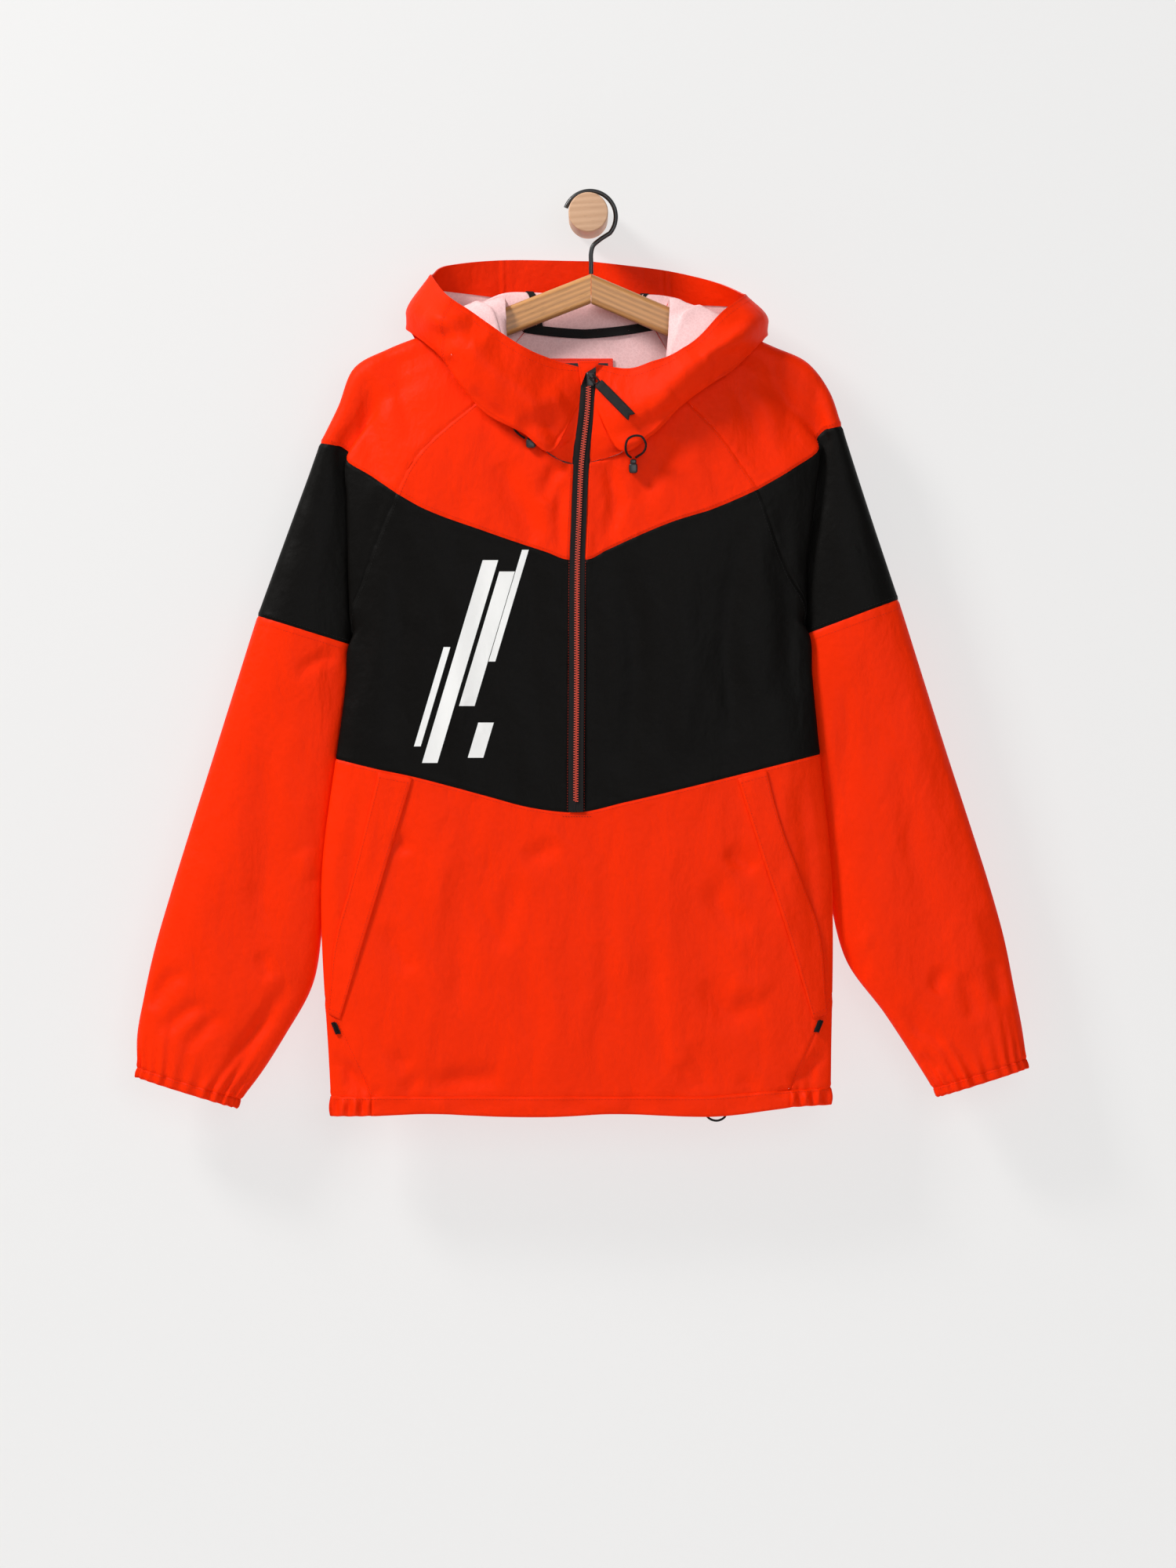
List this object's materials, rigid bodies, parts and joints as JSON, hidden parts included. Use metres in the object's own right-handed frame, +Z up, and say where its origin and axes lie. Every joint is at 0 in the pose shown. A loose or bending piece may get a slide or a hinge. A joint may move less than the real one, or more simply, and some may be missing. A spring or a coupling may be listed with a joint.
{
  "type": "hooded half-zip anorak on a wooden hanger and wall peg",
  "caption": "Hooded half-zip pullover anorak in two colour blocks, with slanted pockets and gathered cuffs, hanging flat on a wooden hanger from a round wall peg.",
  "frame": {"origin": "centre of the peg's flat back end, on the wall plane", "axes": "+Z up, -Y out from the wall towards the viewer, +X to the right of someone who faces the garment"},
  "size_m": [0.87, 0.122, 0.9053],
  "materials": {
    "orange_shell": "light woven nylon with a soft sheen",
    "black_shell": "light woven nylon, matt",
    "black_trim": "woven tape and elastic cord",
    "black_plastic": "satin moulded",
    "zip_teeth": "moulded coil",
    "black_wire": "satin black",
    "oak": "clear lacquer",
    "beech": "bare, sanded"
  },
  "bodies": {
    "anorak": {"back_chest": "black_shell", "back_lower": "orange_shell", "back_yoke": "orange_shell", "bartack_l": "black_trim", "bartack_r": "black_trim", "cord_stop_l": "black_plastic", "cord_stop_r": "black_plastic", "cuff_l": "orange_shell", "cuff_r": "orange_shell", "front_chest_l": "black_shell", "front_chest_r": "black_shell", "front_lower": "orange_shell", "front_yoke_l": "orange_shell", "front_yoke_r": "orange_shell", "hanger_arm_l": "oak", "hanger_arm_r": "oak", "hanger_hook": "black_wire", "hem_back": "orange_shell", "hem_cord": "black_trim", "hem_front": "orange_shell", "hem_side_l": "orange_shell", "hem_side_r": "orange_shell", "hood_centre": "orange_shell", "hood_cord_l": "black_trim", "hood_cord_r": "black_trim", "hood_facing": "orange_shell", "hood_side_l": "orange_shell", "hood_side_r": "orange_shell", "hood_tape_l": "black_trim", "hood_tape_r": "black_trim", "neck_label": "orange_shell", "neck_tape": "black_trim", "pocket_welt_l": "orange_shell", "pocket_welt_r": "orange_shell", "side_gusset_l": "orange_shell", "side_gusset_r": "orange_shell", "sleeve_band_l": "black_shell", "sleeve_band_r": "black_shell", "sleeve_cap_l": "orange_shell", "sleeve_cap_r": "orange_shell", "sleeve_lower_l": "orange_shell", "sleeve_lower_r": "orange_shell", "wall_peg": "beech", "zip_bridge": "black_plastic", "zip_chain": "zip_teeth", "zip_garage": "orange_shell", "zip_slider": "black_plastic", "zip_tape_l": "black_trim", "zip_tape_r": "black_trim"},
    "zip_pull": {"pull_loop": "black_trim", "pull_tab": "black_trim"}
  },
  "joints": [
    {"name": "zip_pull_hinge", "type": "hinge", "parent": "anorak", "child": "zip_pull", "pos_m": [0.0027, -0.1054, -0.1607], "axis": [-0.7204, 0, -0.6936], "range_deg": [0, 150]}
  ]
}
